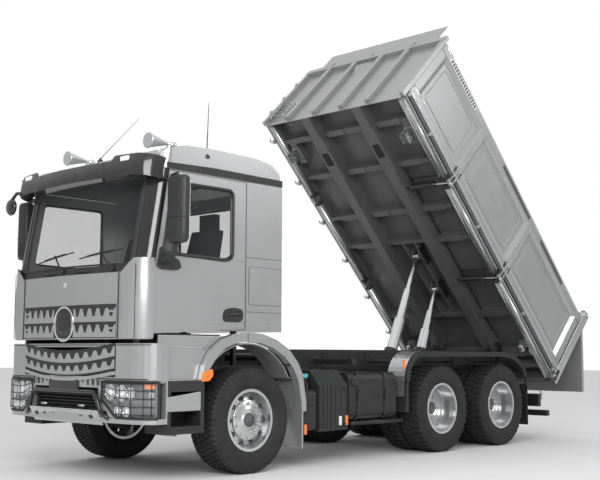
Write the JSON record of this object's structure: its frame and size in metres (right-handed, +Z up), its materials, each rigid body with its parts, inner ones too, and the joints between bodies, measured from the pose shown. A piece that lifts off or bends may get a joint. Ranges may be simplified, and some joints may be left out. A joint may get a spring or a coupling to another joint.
{
  "type": "three-axle dump truck",
  "caption": "Three-axle dump truck with a tilting cab, a steered front axle, twin-wheel rear axles and a raised tipping bed with a swinging tailgate and a drop side.",
  "frame": {"origin": "middle of the whole truck on the ground, with the bed raised", "axes": "+X to the truck's left, -Y forwards, +Z up"},
  "size_m": [2.98, 8.583, 5.6252],
  "materials": {
    "silver_paint": "metallic silver paint",
    "bed_silver": "silver paint",
    "underbody_silver": "matt silver paint",
    "chassis_black": "satin black paint",
    "black_plastic": "grained moulding",
    "visor_plastic": "dark translucent",
    "grey_trim": "woven",
    "dash_plastic": "grained moulding",
    "cast_grey": "painted casting",
    "spring_steel": "black painted leaves",
    "tank_black": "satin black",
    "lamp_glass": "clear lens",
    "tinted_glass": "tinted",
    "tyre_rubber": "treaded",
    "rim_silver": "silver enamel",
    "chrome": "polished",
    "barrel_black": "gloss black"
  },
  "bodies": {
    "chassis": {"chassis_rails": "chassis_black", "cross_members": "chassis_black", "tipping_subframe": "chassis_black", "engine": "cast_grey", "driveline": "cast_grey", "front_axle": "chassis_black", "rear_axles": "chassis_black", "springs": "spring_steel", "fuel_tank": "tank_black", "side_boxes": "black_plastic", "silencer_and_air_tanks": "tank_black", "bumper": "silver_paint", "headlights": "lamp_glass", "entry_steps": "black_plastic", "front_mudguards": "silver_paint", "rear_mudguards": "black_plastic", "underrun_bar": "chassis_black"},
    "cab": {"cab_shell": "silver_paint", "front_panel": "silver_paint", "cab_glass": "tinted_glass", "sun_visor": "visor_plastic", "seats": "grey_trim", "dashboard": "dash_plastic", "roof_horns": "chrome"},
    "left_door": {"left_door": "silver_paint", "left_door_glass": "tinted_glass", "left_mirror": "black_plastic"},
    "right_door": {"right_door": "silver_paint", "right_door_glass": "tinted_glass", "right_mirror": "black_plastic"},
    "left_knuckle": {"left_knuckle": "chassis_black"},
    "right_knuckle": {"right_knuckle": "chassis_black"},
    "front_left_wheel": {"front_left_tyre": "tyre_rubber", "front_left_rim": "rim_silver"},
    "front_right_wheel": {"front_right_tyre": "tyre_rubber", "front_right_rim": "rim_silver"},
    "mid_left_wheels": {"mid_left_tyres": "tyre_rubber", "mid_left_rims": "rim_silver"},
    "mid_right_wheels": {"mid_right_tyres": "tyre_rubber", "mid_right_rims": "rim_silver"},
    "rear_left_wheels": {"rear_left_tyres": "tyre_rubber", "rear_left_rims": "rim_silver"},
    "rear_right_wheels": {"rear_right_tyres": "tyre_rubber", "rear_right_rims": "rim_silver"},
    "bed": {"bed_floor": "underbody_silver", "front_wall": "bed_silver"},
    "left_wall": {"left_side_wall": "bed_silver"},
    "right_wall": {"right_side_wall": "bed_silver"},
    "tailgate": {"tailgate": "bed_silver"},
    "side_barrels": {"side_cylinder_barrels": "barrel_black"},
    "side_rods": {"side_cylinder_rods": "chrome"},
    "front_press_barrel": {"front_press_barrel": "barrel_black"},
    "front_press_stage_1": {"front_press_stage_1": "chrome"},
    "front_press_stage_2": {"front_press_stage_2": "chrome"},
    "front_press_ram": {"front_press_ram": "chrome"},
    "rear_press_barrel": {"rear_press_barrel": "barrel_black"},
    "rear_press_stage_1": {"rear_press_stage_1": "chrome"},
    "rear_press_stage_2": {"rear_press_stage_2": "chrome"},
    "rear_press_ram": {"rear_press_ram": "chrome"}
  },
  "joints": [
    {"name": "cab_tilt", "type": "hinge", "parent": "chassis", "child": "cab", "pos_m": [0, -4.12795, 1], "axis": [1, 0, 0], "range_deg": [0, 60]},
    {"name": "left_door_hinge", "type": "hinge", "parent": "cab", "child": "left_door", "pos_m": [1.15, -4.04595, 2.2], "axis": [0, 0, -1], "range_deg": [0, 75]},
    {"name": "right_door_hinge", "type": "hinge", "parent": "cab", "child": "right_door", "pos_m": [-1.15, -4.04595, 2.2], "axis": [0, 0, 1], "range_deg": [0, 75]},
    {"name": "left_steer", "type": "hinge", "parent": "chassis", "child": "left_knuckle", "pos_m": [0.9, -2.82795, 0.538], "axis": [0, 0, 1], "range_deg": [-35, 35]},
    {"name": "right_steer", "type": "hinge", "parent": "chassis", "child": "right_knuckle", "pos_m": [-0.9, -2.82795, 0.538], "axis": [0, 0, 1], "range_deg": [-35, 35]},
    {"name": "front_left_wheel_spin", "type": "hinge", "parent": "left_knuckle", "child": "front_left_wheel", "pos_m": [1.05, -2.82795, 0.538], "axis": [1, 0, 0], "continuous": true},
    {"name": "front_right_wheel_spin", "type": "hinge", "parent": "right_knuckle", "child": "front_right_wheel", "pos_m": [-1.05, -2.82795, 0.538], "axis": [1, 0, 0], "continuous": true},
    {"name": "mid_left_wheels_spin", "type": "hinge", "parent": "chassis", "child": "mid_left_wheels", "pos_m": [0.92, 0.47205, 0.538], "axis": [1, 0, 0], "continuous": true},
    {"name": "mid_right_wheels_spin", "type": "hinge", "parent": "chassis", "child": "mid_right_wheels", "pos_m": [-0.92, 0.47205, 0.538], "axis": [1, 0, 0], "continuous": true},
    {"name": "rear_left_wheels_spin", "type": "hinge", "parent": "chassis", "child": "rear_left_wheels", "pos_m": [0.92, 1.82205, 0.538], "axis": [1, 0, 0], "continuous": true},
    {"name": "rear_right_wheels_spin", "type": "hinge", "parent": "chassis", "child": "rear_right_wheels", "pos_m": [-0.92, 1.82205, 0.538], "axis": [1, 0, 0], "continuous": true},
    {"name": "bed_tip", "type": "hinge", "parent": "chassis", "child": "bed", "pos_m": [0, 2.75205, 1.315], "axis": [-1, 0, 0], "range_deg": [-45.7, 3]},
    {"name": "tailgate_swing", "type": "hinge", "parent": "bed", "child": "tailgate", "pos_m": [0, 4.18948, 1.81791], "axis": [1, 0, 0], "range_deg": [-45.7, 35]},
    {"name": "left_wall_drop", "type": "hinge", "parent": "bed", "child": "left_wall", "pos_m": [1.215, 1.53452, 2.72015], "axis": [0, 0.6984, -0.7157], "range_deg": [0, 90]},
    {"name": "right_wall_swing", "type": "hinge", "parent": "bed", "child": "right_wall", "pos_m": [-1.215, 2.37903, 3.54428], "axis": [0, 0.6984, -0.7157], "range_deg": [0, 45]},
    {"name": "side_cylinder_swing", "type": "hinge", "parent": "bed", "child": "side_barrels", "pos_m": [0.562, 1.27455, 2.85769], "axis": [0, 0.6984, -0.7157], "range_deg": [-10.13, 0.05]},
    {"name": "side_cylinder_slide", "type": "slide", "parent": "side_barrels", "child": "side_rods", "axis": [0.9993, -0.0268, -0.0261], "range_m": [-0.12546, 0.0002]},
    {"name": "front_press_swing", "type": "hinge", "parent": "chassis", "child": "front_press_barrel", "pos_m": [0, 0.77205, 0.74], "axis": [-1, 0, 0], "range_deg": [-3.17, 0.26]},
    {"name": "front_press_stage_1_slide", "type": "slide", "parent": "front_press_barrel", "child": "front_press_stage_1", "axis": [0, 0.4096, 0.9123], "range_m": [-0.44658, 0.0295]},
    {"name": "front_press_stage_2_slide", "type": "slide", "parent": "front_press_stage_1", "child": "front_press_stage_2", "axis": [0, 0.4096, 0.9123], "range_m": [-0.44658, 0.0295]},
    {"name": "front_press_ram_slide", "type": "slide", "parent": "front_press_stage_2", "child": "front_press_ram", "axis": [0, 0.4096, 0.9123], "range_m": [-0.44658, 0.0295]},
    {"name": "rear_press_swing", "type": "hinge", "parent": "chassis", "child": "rear_press_barrel", "pos_m": [0, 1.47205, 0.74], "axis": [-1, 0, 0], "range_deg": [-6.6, 0.48]},
    {"name": "rear_press_stage_1_slide", "type": "slide", "parent": "rear_press_barrel", "child": "rear_press_stage_1", "axis": [0, 0.3787, 0.9255], "range_m": [-0.2814, 0.01866]},
    {"name": "rear_press_stage_2_slide", "type": "slide", "parent": "rear_press_stage_1", "child": "rear_press_stage_2", "axis": [0, 0.3787, 0.9255], "range_m": [-0.2814, 0.01866]},
    {"name": "rear_press_ram_slide", "type": "slide", "parent": "rear_press_stage_2", "child": "rear_press_ram", "axis": [0, 0.3787, 0.9255], "range_m": [-0.2814, 0.01866]}
  ],
  "couplings": [
    {"joint": "right_steer", "follows": "left_steer", "ratio": 1},
    {"joint": "side_cylinder_swing", "follows": "left_wall_drop", "ratio": -0.11199},
    {"joint": "side_cylinder_slide", "follows": "left_wall_drop", "m_per_rad": -0.079746},
    {"joint": "front_press_swing", "follows": "bed_tip", "ratio": 0.068356},
    {"joint": "front_press_stage_1_slide", "follows": "bed_tip", "m_per_rad": 0.55964},
    {"joint": "front_press_stage_2_slide", "follows": "bed_tip", "m_per_rad": 0.55964},
    {"joint": "front_press_ram_slide", "follows": "bed_tip", "m_per_rad": 0.55964},
    {"joint": "rear_press_swing", "follows": "bed_tip", "ratio": 0.14324},
    {"joint": "rear_press_stage_1_slide", "follows": "bed_tip", "m_per_rad": 0.35255},
    {"joint": "rear_press_stage_2_slide", "follows": "bed_tip", "m_per_rad": 0.35255},
    {"joint": "rear_press_ram_slide", "follows": "bed_tip", "m_per_rad": 0.35255}
  ]
}
